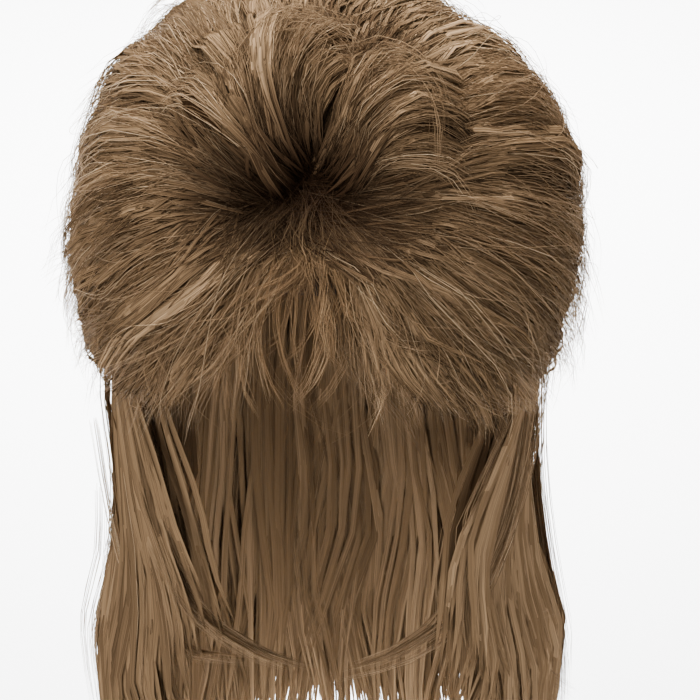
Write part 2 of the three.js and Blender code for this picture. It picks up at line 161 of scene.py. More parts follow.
# Hair on the floor of the cleft, and loose curls that stand off the outline.
CLEFT = [
    [(3, -6, 5), (8, 2, 9), (14, 6, 12), (20, 7, 17), (27, 7, 26)],
    [(3, 30, 5), (8, 22, 9), (14, 15, 12), (20, 13, 17), (27, 13, 26)],
]
CURLS = [
    [(14, -50, 22), (24, -41, 33), (33, -38, 41), (39, -40, 46), (39, -48, 45), (34, -55, 38)],
    [(16, -36, 24), (25, -31, 35), (34, -33, 43), (40, -40, 48), (39, -47, 46)],
    [(36, -98, 20), (48, -103, 27), (58, -107, 31), (64, -111, 30), (64, -117, 24)],
    [(34, -88, 22), (48, -91, 29), (56, -97, 33), (58, -104, 30)],
    [(40, -120, 16), (54, -121, 22), (66, -119, 26), (77, -115, 24)],
    [(34, 84, 20), (48, 86, 29), (56, 89, 34), (62, 92, 35)],
    [(36, 66, 24), (50, 67, 32), (56, 72, 37), (60, 77, 36)],
    [(40, 97, 18), (54, 98, 26), (63, 100, 31), (70, 104, 30)],
    [(42, 116, 14), (56, 115, 21), (68, 112, 26), (78, 107, 26)],
]

# The fringe's locks: turn at the root, half way and at the tip, and reach as a share of the way to
# the hem.
FRINGE_SWEEPS = [
    (-146, -144, -140, 1.0),
    (-156, -152, -156, 1.04),
    (-164, -161, -170, 1.02),
    (-172, -172, -184, 0.98),
    (-180, -181, -176, 0.9),
    (-188, -190, -182, 0.96),
    (-196, -199, -191, 1.03),
    (-203, -207, -199, 1.05),
    (-212, -215, -216, 1.02),
]

# down as a share of TAIL_DROP, side and back as shares of the head's half width and half length
TAIL_FORM = [
    (-0.17, 0.98, 1.02), (0, 1.02, 1.05), (0.19, 0.99, 0.94),
    (0.37, 1.0, 0.85), (0.6, 1.19, 0.82), (1, 1.15, 0.77),
]

# azimuth, top and tip as shares of TAIL_DROP, swing, out, width
TAIL_SIDE_LOCKS = [
    (76, 0.025, 0.54, 41, -0.1, 0.65),
    (85, 0.0, 0.82, 40, 0.05, 0.95),
    (98, -0.015, 0.95, 24, 0.2, 1.05),
    (114, -0.015, 0.98, 12, 0.1, 1.05),
]
TAIL_BACK_LOCKS = [
    (128, 0.035, 0.96, 5, 0.15, 1.05),
    (147, 0.07, 1.0, 3, 0.0, 1.2),
    (167, 0.085, 0.98, 2, 0.15, 1.2),
]

MIDDLE_LOCK = (183, 0.085, 0.97, 2, 0.1, 1.2)

# Sweeps of the long hair by side: how many fibres, how far they spread in millimetres at the root
# and at the tip, and their path across, front and down as shares of the head's half width, half
# length and TAIL_DROP.
TAIL_SWEEPS = {
    "right": [
        (130, 7, 3, [
            (1.04, -0.1, 0.05), (1.1, -0.1, 0.2), (1.09, -0.1, 0.3),
            (1.13, -0.06, 0.4), (1.22, 0, 0.47),
        ]),
        (150, 8, 3, [
            (1.02, 0.1, 0.05), (0.98, 0.18, 0.15), (0.91, 0.26, 0.25),
            (0.78, 0.36, 0.35), (0.62, 0.41, 0.375),
        ]),
        (110, 6, 2, [
            (1.0, 0.12, 0.1), (0.88, 0.26, 0.19), (0.75, 0.32, 0.27),
            (0.65, 0.37, 0.34), (0.56, 0.42, 0.378),
        ]),
        (120, 6, 2, [
            (1.06, 0, 0.2), (1.04, 0.05, 0.32), (1.0, 0.17, 0.4),
            (0.92, 0.32, 0.465), (0.75, 0.47, 0.495), (0.42, 0.56, 0.49),
        ]),
        (170, 8, 5, [
            (1.08, -0.1, 0.36), (1.13, -0.1, 0.47), (1.24, -0.05, 0.56),
            (1.26, 0, 0.64), (1.22, 0.05, 0.8),
        ]),
        (70, 4, 2, [
            (0.72, 0.36, 0.3), (0.63, 0.41, 0.38), (0.67, 0.4, 0.45),
            (0.81, 0.36, 0.52), (0.92, 0.31, 0.58),
        ]),
    ],
    "left": [
        (26, 3, 2, [
            (1.12, -0.05, 0.1), (1.15, -0.05, 0.25), (1.14, -0.05, 0.34),
            (1.15, -0.05, 0.4),
        ]),
        (240, 6, 5, [
            (1.02, 0, 0.1), (1.04, 0, 0.25), (1.09, 0, 0.37),
            (1.17, 0, 0.49), (1.27, 0, 0.62), (1.29, 0, 0.8),
        ]),
        (60, 7, 6, [
            (0.8, 0.3, 0.24), (0.8, 0.34, 0.33), (0.88, 0.3, 0.42),
            (1.06, 0.2, 0.49), (1.28, 0.05, 0.515),
        ]),
        (60, 7, 5, [
            (0.82, 0.34, 0.34), (0.87, 0.34, 0.45), (1.0, 0.28, 0.54),
            (1.17, 0.18, 0.61), (1.35, 0.1, 0.665),
        ]),
        (120, 6, 5, [
            (0.95, 0.2, 0.2), (0.86, 0.3, 0.33), (0.84, 0.33, 0.45),
            (0.9, 0.3, 0.6), (0.92, 0.25, 0.8),
        ]),
    ],
}

# across, front and down, as shares of the head's half width, half length and TAIL_DROP
CHIN_WISP = [
    (0.97, 0.2, 0.1), (0.94, 0.3, 0.22), (0.85, 0.4, 0.33),
    (0.68, 0.49, 0.42), (0.38, 0.56, 0.475), (0.05, 0.6, 0.5),
]

HALF_WIDTH = HEAD_WIDTH / 2
HALF_LENGTH = HEAD_LENGTH / 2
HEAD_CENTRE = np.array([0.0, 0.0, -HEAD_DOME])
# The strips of the side tails face away from here, so that they turn to the front a little.
TAIL_CENTRE = np.array([0.0, 0.12, -HEAD_DOME])


def lerp(a, b, share):
    return a + (b - a) * share


def smooth(share):
    share = np.clip(share, 0, 1)
    return share * share * (3 - 2 * share)


def eased(rows, at, column=1):
    """Reads a table's column, eased between the rows on either side of at."""
    keys = np.array([row[0] for row in rows], float)
    values = np.array([row[column] for row in rows], float)
    low = np.clip(np.searchsorted(keys, at) - 1, 0, len(keys) - 2)
    share = (at - keys[low]) / (keys[low + 1] - keys[low])
    return lerp(values[low], values[low + 1], smooth(share))


def unit(vectors):
    return vectors / np.maximum(np.linalg.norm(vectors, axis=-1, keepdims=True), 1e-9)


def whorl_frame():
    """Away from the head at the whorl, straight back over the top, and to the wearer's left."""
    rise = math.radians(WHORL_RISE)
    side = math.radians(WHORL_SIDE)
    turn = Matrix.Rotation(side, 3, "Z")
    out = turn @ Vector((0, -math.cos(rise), math.sin(rise)))
    left = turn @ Vector((1, 0, 0))
    return np.array(out), np.array(out.cross(left)), np.array(left)


WHORL_OUT, WHORL_BACK, WHORL_LEFT = whorl_frame()


def from_whorl(away, turn, lift):
    """Points over the head by degrees from the whorl, degrees round it and lift off the head."""
    away, turn, lift = np.broadcast_arrays(np.radians(away), np.radians(turn), lift)
    across = np.sin(away)[..., None]
    way = (
        WHORL_OUT * np.cos(away)[..., None]
        + WHORL_BACK * across * np.cos(turn)[..., None]
        + WHORL_LEFT * across * np.sin(turn)[..., None]
    )
    height = np.where(way[..., 2] > 0, HEAD_DOME, NAPE_TAPER)
    shares = way / np.stack(np.broadcast_arrays(HALF_WIDTH, HALF_LENGTH, height), -1)
    radius = 1 / np.linalg.norm(shares, axis=-1)
    return HEAD_CENTRE + way * (radius + lift)[..., None]


def drawn_in(points):
    """Eases the outermost points in, to the sides and to the front."""
    points = points.copy()
    for axis, side, start in ((0, 1, EASE_SIDE), (0, -1, EASE_SIDE), (1, -1, EASE_FRONT)):
        over = np.maximum(side * points[..., axis] - start, 0)
        points[..., axis] -= side * (over - EASE_DEPTH * np.tanh(over / EASE_DEPTH))
    return points


def on_head(azimuth, polar, grow):
    """A point on the head form, grown outwards. azimuth is 0 at the front, polar 0 on top."""
    height = (HEAD_DOME if polar < math.pi / 2 else NAPE_TAPER) + grow
    across = math.sin(polar)
    return Vector(
        (
            (HALF_WIDTH + grow) * across * math.sin(azimuth),
            -(HALF_LENGTH + grow) * across * math.cos(azimuth),
            -HEAD_DOME + height * math.cos(polar),
        )
    )


def from_front(azimuth):
    turned = math.degrees(azimuth) % 360
    return min(turned, 360 - turned)


def cap_polar(azimuth):
    under = (float(eased(CAP_EDGE, from_front(azimuth))) - 1) * HEAD_DOME
    return math.acos(-under / (HEAD_DOME if under < 0 else NAPE_TAPER))


def core_polar(azimuth):
    return math.radians(float(eased(CORE_EDGE, from_front(azimuth))))


def hem_away(turn):
    turned = np.abs((np.asarray(turn) + 180) % 360 - 180)
    return eased(HEM, turned)


def arched(t, root, crest, tip, haste=0.85):
    """A lift that rises from the root to a crest and comes down to the tip."""
    rise = np.sin(math.pi * np.clip(t, 0, 1) ** haste)
    return lerp(root, tip, t) + (crest - (root + tip) / 2) * rise


# Guides: paths that fibres follow, in the columns away, turn and lift.


def sweep_guides(rows, base_lift, tip_share=0.55, stations=7):
    """Guides from rows of turns, start, reach and crest."""
    guides = []
    t = np.linspace(0, 1, stations)
    for root, middle, tip, start, reach, crest in rows:
        turn = root * (1 - t) * (1 - 2 * t) + 4 * middle * t * (1 - t) + tip * t * (2 * t - 1)
        away = lerp(start, reach * float(hem_away(tip)), t**0.9)
        haste = lerp(0.55, 0.85, float(smooth(abs(middle) / 90)))
        lift = arched(t, ROOT_DEPTH, crest * base_lift, base_lift * tip_share, haste)
        guides.append(np.stack([away, turn, lift], -1))
    return np.array(guides)


def crest_guides(paths):
    return np.array(paths, float) * [1, 1, 0.001]


def tail_guides(rows, side, stations=9):
    """Guides down the long hair, in the columns azimuth, down and stand off its form."""
    guides = []
    t = np.linspace(0, 1, stations)
    for number, (azimuth, top, tip, swing, out, _) in enumerate(rows):
        down = lerp(top, tip, t)
        wave = np.sin(2 * math.pi * (1.1 * t + 0.14 * number + 0.2 * side)) * smooth(t * 3)
        turned = side * (azimuth - swing * t**1.25) + 4.0 * wave
        stand = out * TAIL_THICKNESS * smooth(t * 3) + 0.002 * wave
        guides.append(np.stack([turned, down, stand], -1))
    return np.array(guides)


def hang(azimuth, down, stand):
    """Points on the form that the long hair hangs in."""
    across = eased(TAIL_FORM, down, 1) * HALF_WIDTH + stand
    back = eased(TAIL_FORM, down, 2) * HALF_LENGTH + stand
    turn = np.radians(azimuth)
    return np.stack(
        [across * np.sin(turn), -back * np.cos(turn), -HEAD_DOME - down * TAIL_DROP], -1
    )


def along(guides, which, t):
    """Catmull-Rom places on guides, by guide number and share of the way along."""
    before = 2 * guides[:, :1] - guides[:, 1:2]
    after = 2 * guides[:, -1:] - guides[:, -2:-1]
    padded = np.concatenate([before, guides, after], axis=1)
    spans = guides.shape[1] - 1
    which, t = np.broadcast_arrays(which, t)
    place = t * spans
    low = np.clip(np.floor(place).astype(int), 0, spans - 1)
    u = (place - low)[..., None]
    a, b, c, d = (padded[which, low + i] for i in range(4))
    return 0.5 * (
        2 * b + (c - a) * u + (2 * a - 5 * b + 4 * c - d) * u**2 + (3 * b - a - 3 * c + d) * u**3
    )


# Fibres


def gather(rng, count, bunch):
    """Puts fibres in bunches: each fibre's bunch, and how many bunches there are."""
    bunches = max(1, count // bunch)
    return np.sort(rng.integers(0, bunches, count)), bunches


def wander(rng, count, share, slow, quick):
    """A smooth random sway along each fibre, nothing at its root."""
    phases = rng.uniform(0, 2 * math.pi, (count, 2, 1))
    rates = rng.uniform([[0.4], [1.3]], [[0.9], [2.0]], (count, 2, 1))
    sway = slow * np.sin(2 * math.pi * rates[:, 0] * share + phases[:, 0])
    ripple = quick * np.sin(2 * math.pi * rates[:, 1] * share + phases[:, 1])
    return (sway + ripple) * smooth(share * 2)


def drift(rng, member, bunches, share, bend, slow, own):
    """A sway in metres: the bend and sway that a bunch shares, and a little of each fibre's own."""
    bent = rng.normal(0, bend, bunches)[member][:, None] * share**2
    shared = wander(rng, bunches, share, slow, slow * 0.2)[member]
    return bent + shared + wander(rng, len(member), share, own, own * 0.35)


def tones(rng, member, bunches, middle=0.5, own=0.13):
    """Each fibre's tone from 0, dark, to 1, light, near its bunch's own."""
    bunch = rng.normal(middle, 0.1, bunches)[member]
    return np.clip(bunch + rng.normal(0, own, len(member)), *TONE_SPAN)


def comb(rng, guides, count, bunch, first, last, rings, loose=0.16, pull=0.3):
    """Places between guides for fibres in bunches that draw together towards their tips."""
    member, bunches = gather(rng, count, bunch)
    rooted = rng.random(bunches) < first[0]
    begin = np.where(rooted, 0.0, rng.uniform(0.04, first[1], bunches))[member]
    begin = begin + np.abs(rng.normal(0, 0.02, count))
    end = rng.uniform(*last, bunches)[member] + rng.normal(0, 0.03, count)
    end = np.clip(end, begin + 0.15, last[1] + 0.02)
    share = np.linspace(0, 1, rings)[None, :]
    t = begin[:, None] + (end - begin)[:, None] * share
    even = (rng.permutation(bunches) + rng.random(bunches)) / bunches
    home = lerp(-0.35, len(guides) - 0.65, even)[member]
    own = rng.normal(0, loose, count)[:, None] * (1 - pull * smooth(share * 1.1))
    at = np.clip(home[:, None] + own, -0.45, len(guides) - 0.55)
    low = np.clip(np.floor(at).astype(int), 0, len(guides) - 2)
    places = lerp(along(guides, low, t), along(guides, low + 1, t), (at - low)[..., None])
    between = (2 * np.abs(at - np.round(at))) ** 2
    return places, t, share, between, member, bunches


def whorl_fibres(
    rng, guides, count, bunch=30, first=(0.7, 0.45), last=(0.78, 1.03), rings=7, depth=0.002,
    bend=0.005, slow=0.002, own=0.0005, tuck=0.003, loose=0.3, pull=0.3, tone=0.5, scatter=0.006,
    furrow=0.004, flick=0.0, cleft_shade_stretch=1.0, own_tone=0.09, lumps=0.3,
):
    """Fibres over the head along guides from the whorl, rooted on a scatter of places round it."""
    places, t, share, between, member, bunches = comb(
        rng, guides, count, bunch, first, last, rings, loose, pull
    )
    away, turn, lift = np.moveaxis(places, -1, 0)
    aside = drift(rng, member, bunches, share, bend, slow, own)
    forth = drift(rng, member, bunches, share, bend * 0.3, slow * 0.5, own)
    rise = drift(rng, member, bunches, share, bend * lumps, slow * 0.5, own * 0.7)
    sunk = np.abs(rng.normal(0, depth, bunches))[member] + np.abs(rng.normal(0, 0.0008, len(member)))
    dive = np.where(t[:, :1] > 0.04, 0.005, 0.001) * (1 - smooth(share / 0.22))
    lift = lift + rise - sunk[:, None] * smooth(share * 3) - dive - tuck * smooth((share - 0.7) / 0.3)
    lift = lift - furrow * between * smooth(t * 2.5)
    turned_out = (rng.random(bunches) < 0.35) * rng.uniform(0.4, 1.3, bunches)
    lift = lift + flick * turned_out[member][:, None] * smooth((share - 0.6) / 0.4) ** 2
    radius = HALF_WIDTH + lift
    turn = turn + np.degrees(aside / (radius * np.maximum(np.sin(np.radians(away)), 0.22)))
    away = away + np.degrees(forth / radius)
    points = from_whorl(away, turn, np.maximum(lift, LEAST_LIFT))
    shift = rng.normal(0, scatter, (count, 2))
    shift = shift[:, :1] * WHORL_BACK + shift[:, 1:] * WHORL_LEFT
    near = (1 - smooth(t / 0.35))[..., None]
    # Fibres midway between guides, in the valleys between the locks, are drawn darker as painted shade.
    shade = tones(rng, member, bunches, tone, own_tone) - 0.16 * between[:, -2] * (furrow > 0)
    # The map's place along each fibre is scaled by the stretch. Below 1, the dark root colour reaches
    # further along as painted shade.
    return drawn_in(points + shift[:, None, :] * near), np.clip(shade, *TONE_SPAN), t * cleft_shade_stretch


def hanging_fibres(rng, guides, count, bunch=6, last=(0.84, 1.02), rings=8, tone=0.55):
    """Long fibres that hang in soft waves, drawn together to points at many heights."""
    places, t, share, between, member, bunches = comb(
        rng, guides, count, bunch, (0.8, 0.3), last, rings, 0.25, 0.45
    )
    azimuth, down, stand = np.moveaxis(places, -1, 0)
    aside = drift(rng, member, bunches, share, 0.008, 0.0045, 0.0008)
    rise = drift(rng, member, bunches, share, 0.0025, 0.001, 0.0004)
    sheet = rng.choice([-1, 1, 1], bunches) * rng.uniform(0.55, 1, bunches)
    deep = sheet[member] * TAIL_THICKNESS / 2 + rng.normal(0, 0.0006, len(member))
    stand = stand + rise + deep[:, None] * (1 - 0.5 * smooth((share - 0.4) / 0.6))
    stand = stand - 0.0015 * between
    azimuth = azimuth + np.degrees(aside / (HALF_WIDTH + stand))
    return hang(azimuth, down, stand), lerp(tone, tones(rng, member, bunches, tone), 0.6), t


def swept_fibres(rng, side, count, root_spread, tip_spread, path, rings=8):
    """A free wisp of the long hair along a path of its own."""
    table = np.array(path) * [side * HALF_WIDTH, -HALF_LENGTH, -TAIL_DROP] + [0, -0.005, -HEAD_DOME]
    member, bunches = gather(rng, count, 12)
    share = np.linspace(0, 1, rings)[None, :]
    end = rng.uniform(0.86, 1.0, bunches)[member] + rng.normal(0, 0.02, count)
    t = np.clip(end, 0.5, 1.02)[:, None] * share
    spread = 0.001 * lerp(root_spread, tip_spread, share)[..., None]
    scatter = rng.normal(0, 0.6, (bunches, 1, 3))[member] + rng.normal(0, 0.3, (count, 1, 3))
    points = along(table[None], np.zeros((count, 1), int), t) + scatter * spread
    sway = drift(rng, member, bunches, share, 0.003, 0.0012, 0.0005)
    across = unit(np.gradient(points, axis=1))
    across = np.cross(across, unit(points - HEAD_CENTRE))
    return drawn_in(points + across * sway[..., None]), tones(rng, member, bunches, 0.62), 0.3 + 0.7 * t


def stray_fibres(rng, guides, count, rings=14):
    """Loose single fibres that stand off the crown in wide curves."""
    places, t, share, _, _, _ = comb(rng, guides, count, 1, (0.1, 0.6), (0.6, 1.02), rings, 0.0, 0.0)
    away, turn, lift = np.moveaxis(places, -1, 0)
    aside = wander(rng, count, share, 0.006, 0.0006) + rng.normal(0, 0.014, count)[:, None] * share**2
    rise = rng.uniform(-0.001, 0.0055, count)[:, None] * smooth(share * 2) + wander(
        rng, count, share, 0.002, 0.0004
    )
    turn = turn + np.degrees(aside / (HALF_WIDTH * np.maximum(np.sin(np.radians(away)), 0.3)))
    points = drawn_in(from_whorl(away, turn, lift + rise))
    return points, np.clip(rng.normal(0.62, 0.17, count), *TONE_SPAN), t


# Meshes


def mesh_of(name, spots, polygons, sizes, maps, material, sides, creases):
    """A smooth mesh from arrays of points, corners and their place on the fibre map. creases are
    the corners of a tube whose edges stay sharp."""
    corners = np.concatenate(polygons).astype(np.int32)
    sizes = np.concatenate(sizes).astype(np.int32)
    mesh = bpy.data.meshes.new(name)
    mesh.vertices.add(sum(len(part) for part in spots))
    mesh.vertices.foreach_set("co", np.concatenate(spots).astype(np.float32).ravel())
    mesh.loops.add(len(corners))
    mesh.loops.foreach_set("vertex_index", corners)
    mesh.polygons.add(len(sizes))
    starts = np.concatenate([[0], np.cumsum(sizes)[:-1]]).astype(np.int32)
    mesh.polygons.foreach_set("loop_start", starts)
    mesh.polygons.foreach_set("use_smooth", np.ones(len(sizes), bool))
    flat_map = np.concatenate(maps).astype(np.float32).ravel()
    for label in ("Strand", "OFBake"):
        mesh.uv_layers.new(name=label).data.foreach_set("uv", flat_map)
    mesh.update(calc_edges=True)
    mesh.validate()
    if creases:
        ends = np.empty(len(mesh.edges) * 2, np.int32)
        mesh.edges.foreach_get("vertices", ends)
        corner = ends.reshape(-1, 2) % sides
        sharp = (corner[:, 0] == corner[:, 1]) & np.isin(corner[:, 0], creases)
        mesh.attributes.new("sharp_edge", "BOOLEAN", "EDGE").data.foreach_set("value", sharp)
    mesh.materials.append(material)
    piece = bpy.data.objects.new(name, mesh)
    bpy.context.collection.objects.link(piece)
    return piece


def tubes(name, groups, material, section, span, taper, creases=(), centre=HEAD_CENTRE):
    """Closed tapered tubes as one mesh. section has each corner's place across and over the middle
    line, in metres, and span how far a tube reaches on the fibre map."""
    sides = len(section)
    section = np.array(section, float)
    fold = np.append(np.linspace(0, 1, sides), 0.0)
    spots, polygons, sizes, maps = [], [], [], []
    base = 0
    for points, tone, length in groups:
        count, rings, _ = points.shape
        length = np.clip(length, 0.002, 0.998)
        ahead = unit(np.gradient(points, axis=1))
        aside = unit(np.cross(unit(points - centre), ahead))
        over = np.cross(ahead, aside)
        share = np.linspace(0, 1, rings)
        size = taper(share)[None, :, None, None]
        ring = (
            points[:, :, None, :]
            + size * section[None, None, :, :1] * aside[:, :, None, :]
            + size * section[None, None, :, 1:] * over[:, :, None, :]
        )
        spots.append(ring.reshape(-1, 3))
        corner = np.arange(sides)
        following = (corner + 1) % sides
        level = np.arange(rings - 1)[None, :, None] * sides
        low = np.arange(count)[:, None, None] * rings * sides + base + level
        quads = np.stack([low + corner, low + following, low + following + sides, low + corner + sides], -1)
        left = tone[:, None, None] + span * fold[None, None, :-1]
        right = tone[:, None, None] + span * fold[None, None, 1:]
        across = np.stack(np.broadcast_arrays(left, right, right, left), -1)
        below, above = length[:, :-1, None], length[:, 1:, None]
        upward = np.stack([below, below, above, above], -1)
        quad_map = np.stack(np.broadcast_arrays(across, upward), -1)
        quad_map = np.broadcast_to(quad_map, quads.shape + (2,))
        polygons.append(quads.reshape(-1, 4).ravel())
        sizes.append(np.full(quads.size // 4, 4))
        maps.append(quad_map.reshape(-1, 2))
        root = np.arange(count)[:, None] * rings * sides + base + corner[::-1][None, :]
        tip = np.arange(count)[:, None] * rings * sides + base + (rings - 1) * sides + corner
        for loop, height in ((root, length[:, 0]), (tip, length[:, -1])):
            polygons.append(loop.ravel())
            sizes.append(np.full(count, sides))
            maps.append(np.stack([np.repeat(tone, sides), np.repeat(height, sides)], -1))
        base += count * rings * sides
    return mesh_of(name, spots, polygons, sizes, maps, material, sides, creases)


def fibre_mesh(name, groups, material, radius=FIBRE_RADIUS):
    """Single fibres, three-sided, thinner at the root and drawn out to a fine tip."""
    angles = [math.pi / 2 + 2 * math.pi * i / FIBRE_SIDES for i in range(FIBRE_SIDES)]
    section = [(radius * math.cos(angle), radius * math.sin(angle)) for angle in angles]

    def taper(share):
        size = np.minimum(1, 0.6 + share * 4) * (1 - 0.6 * smooth((share - 0.5) / 0.5))
        size[-1] = 0.12
        return size

    return tubes(name, groups, material, section, 0.0, taper)


def strip_mesh(name, groups, material, width=STRIP_WIDTH, keel=0.25, full=0.45, centre=HEAD_CENTRE):
    """Flat strips of a few fibres side by side, flat above and with a shallow keel below."""
    section = [(-width / 2, 0), (0, -width * keel), (width / 2, 0)]

    def taper(share):
        size = np.minimum(1, 0.12 + share * 3) * (1 - 0.7 * smooth((share - full) / (1 - full)))
        size[-1] = 0.06
        return size

    groups = [(points, np.minimum(tone, STRIP_TONE), length) for points, tone, length in groups]
    span = width / SHEET_WIDTH
    return tubes(name, groups, material, section, span, taper, creases=(0, 2), centre=centre)


def dress(piece, slot, *nodes):
    """Fixes a piece to the wig and hides the solids that it stands for. slot is not used."""
    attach(piece, "root")
    if nodes:
        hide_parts(*nodes)


def piece_from(name, bm, material):
    bmesh.ops.recalc_face_normals(bm, faces=bm.faces)
    mesh = bpy.data.meshes.new(name)
    bm.to_mesh(mesh)
    bm.free()
    for polygon in mesh.polygons:
        polygon.use_smooth = True
    mesh.materials.append(material)
    piece = bpy.data.objects.new(name, mesh)
    bpy.context.collection.objects.link(piece)
    return piece


def add_lock(bm, points, width, thickness, sides=8):
    """A soft closed lock: ovals along the points, bridged one to the next."""
    t = np.linspace(0, 1, len(points))
    full = np.minimum(1, 0.35 + 1.6 * t) * (1 - 0.92 * smooth((t - 0.4) / 0.6))
    ahead = unit(np.gradient(points, axis=0))
    aside = unit(np.cross(unit(points - HEAD_CENTRE), ahead))
    over = np.cross(ahead, aside)
    before = None
    for k, point in enumerate(points):
        axes = (aside[k] * width / 2 * full[k], over[k] * thickness / 2 * full[k] ** 0.7, ahead[k] * 0.001)
        turned = Matrix([Vector(axis) for axis in axes]).transposed().to_4x4()
        place = Matrix.Translation(Vector(point)) @ turned
        ends = k in (0, len(points) - 1)
        made = bmesh.ops.create_circle(bm, cap_ends=ends, segments=sides, radius=1, matrix=place)["verts"]
        edges = list({edge for vert in made for edge in vert.link_edges})
        if before:
            bmesh.ops.bridge_loops(bm, edges=before + edges)
        before = edges


def add_dome(bm, inner, outer, edge, around=64, down=20):
    """A closed shell over the head between two growths, down to an edge."""
    rims = []
    for grow in (inner, outer):
        rings = []
        for row in range(down + 1):
            ring = []
            for step in range(around):
                azimuth = 2 * math.pi * step / around
                polar = edge(azimuth) * max(row, 0.02) / down
                ring.append(bm.verts.new(on_head(azimuth, polar, grow(azimuth, polar))))
            rings.append(ring)
        for low, high in zip(rings, rings[1:]):
            for step in range(around):
                after = (step + 1) % around
                bm.faces.new((low[step], low[after], high[after], high[step]))
        bm.faces.new(rings[0])
        rims.append(rings[-1])
    for step in range(around):
        after = (step + 1) % around
        bm.faces.new((rims[0][step], rims[0][after], rims[1][after], rims[1][step]))


def backing_depth(azimuth, polar):
    way = np.array(on_head(azimuth, polar, 0)) - HEAD_CENTRE
    away = math.degrees(math.acos(float(np.clip(unit(way) @ WHORL_OUT, -1, 1))))
    return lerp(ROOT_DEPTH, PUFF_DEPTH, float(smooth(away / PUFF_START))) - 0.003


def core_locks(bm, guides, width, thickness, sink, span=(0.28, 0.95), rings=9):
    """A soft lock under each guide, sunk below the fibres that follow it."""
    for number in range(len(guides)):
        places = along(guides, np.full(rings, number), np.linspace(*span, rings))
        points = from_whorl(places[:, 0], places[:, 1], np.maximum(places[:, 2] - sink, CORE_LIFT))
        add_lock(bm, points, width, thickness)


# Materials


def linear(hex_colour):
    """An sRGB hex colour as linear red, green, blue and alpha."""
    parts = [int(hex_colour[i : i + 2], 16) / 255 for i in (1, 3, 5)]
    return [p / 12.92 if p <= 0.04045 else ((p + 0.055) / 1.055) ** 2.4 for p in parts] + [1.0]


def add_node(material, kind, settings=None, links=None):
    """Adds a node with its settings, and links its sockets from other nodes' outputs."""
    tree = material.node_tree
    node = tree.nodes.new(kind)
    for key, value in (settings or {}).items():
        if key in node.inputs:
            node.inputs[key].default_value = value
        else:
            setattr(node, key, value)
    for key, output in (links or {}).items():
        tree.links.new(output, node.inputs[key])
    return node


def new_material(name):
    material = bpy.data.materials.new(name)
    material.use_nodes = True
    return material, material.node_tree.nodes["Principled BSDF"]


def set_ramp(node, stops):
    ramp = node.color_ramp
    while len(ramp.elements) > 1:
        ramp.elements.remove(ramp.elements[-1])
    ramp.elements[0].position = stops[0][0]
    ramp.elements[0].color = linear(stops[0][1])
    for position, colour in stops[1:]:
        ramp.elements.new(position).color = linear(colour)


def fibre_finish(name, stops, root_colour_and_shade, root_end, streaks=0, contrast=0.55):
    """Drawn synthetic fibre, smooth, of one tone across and dark at the root, the dark root partly the
    fibre's own colour and partly painted shade. Its soft sheen is a painted highlight in the lighter tones,
    since the shader has little or no specular.
    streaks draws that many fibres side by side across the map's 50 mm, for combed strips: one each
    0.5 mm, coarser than the real 0.08 mm so that they show."""
    material, shader = new_material(name)
    strand = add_node(material, "ShaderNodeUVMap", {"uv_map": "Strand"})
    axes = add_node(material, "ShaderNodeSeparateXYZ", links={"Vector": strand.outputs["UV"]})
    tone = add_node(material, "ShaderNodeValToRGB", links={"Fac": axes.outputs["X"]})
    set_ramp(tone, stops)
    spread = add_node(
        material, "ShaderNodeMapping", {"Scale": (streaks or 90, 2.0, 1)}, {"Vector": strand.outputs["UV"]}
    )
    patches = add_node(
        material,
        "ShaderNodeTexNoise",
        {"noise_dimensions": "2D", "Scale": 1.0, "Detail": 2.0},
        {"Vector": spread.outputs["Vector"]},
    )
    if streaks:
        ridges = add_node(
            material,
            "ShaderNodeBump",
            {"Strength": contrast, "Distance": 0.0003},
            {"Height": patches.outputs["Fac"]},
        )
        material.node_tree.links.new(ridges.outputs["Normal"], shader.inputs["Normal"])
    # The noise varies the tone at random from fibre to fibre across the map, and also lighter and darker
    # slowly along each fibre, as a painted highlight.
    shade = add_node(
        material,
        "ShaderNodeMapRange",
        {
            "From Min": 0.3,
            "From Max": 0.7,
            "To Min": 1 - contrast if streaks else 0.85,
            "To Max": 1 + contrast if streaks else 1.15,
        },
        {"Value": patches.outputs["Fac"]},
    )
    varied = add_node(
        material,
        "ShaderNodeVectorMath",
        {"operation": "SCALE"},
        {0: tone.outputs["Color"], "Scale": shade.outputs["Result"]},
    )
    rootward = add_node(
        material,
        "ShaderNodeMapRange",
        {
            "interpolation_type": "SMOOTHSTEP",
            "From Min": 0.0,
            "From Max": root_end,
            "To Min": 1.0,
            "To Max": 0.0,
        },
        {"Value": axes.outputs["Y"]},
    )
    colour = add_node(
        material, "ShaderNodeMix", {"data_type": "RGBA"}, {"Factor": rootward.outputs["Result"]}
    )
    material.node_tree.links.new(varied.outputs["Vector"], colour.inputs[6])
    # The root colour mixed in towards the root is partly the fibre's own dark root and partly painted shade,
    # round the whorl and under the outer hair.
    colour.inputs[7].default_value = linear(root_colour_and_shade)
    material.node_tree.links.new(colour.outputs[2], shader.inputs["Base Color"])
    shader.inputs["Roughness"].default_value = 0.55
    shader.inputs["IOR"].default_value = 1.54
    shader.inputs["Specular IOR Level"].default_value = 0.0 if streaks else 0.03
    shader.inputs["Specular Tint"].default_value = linear("#ffe2bd")
    return material


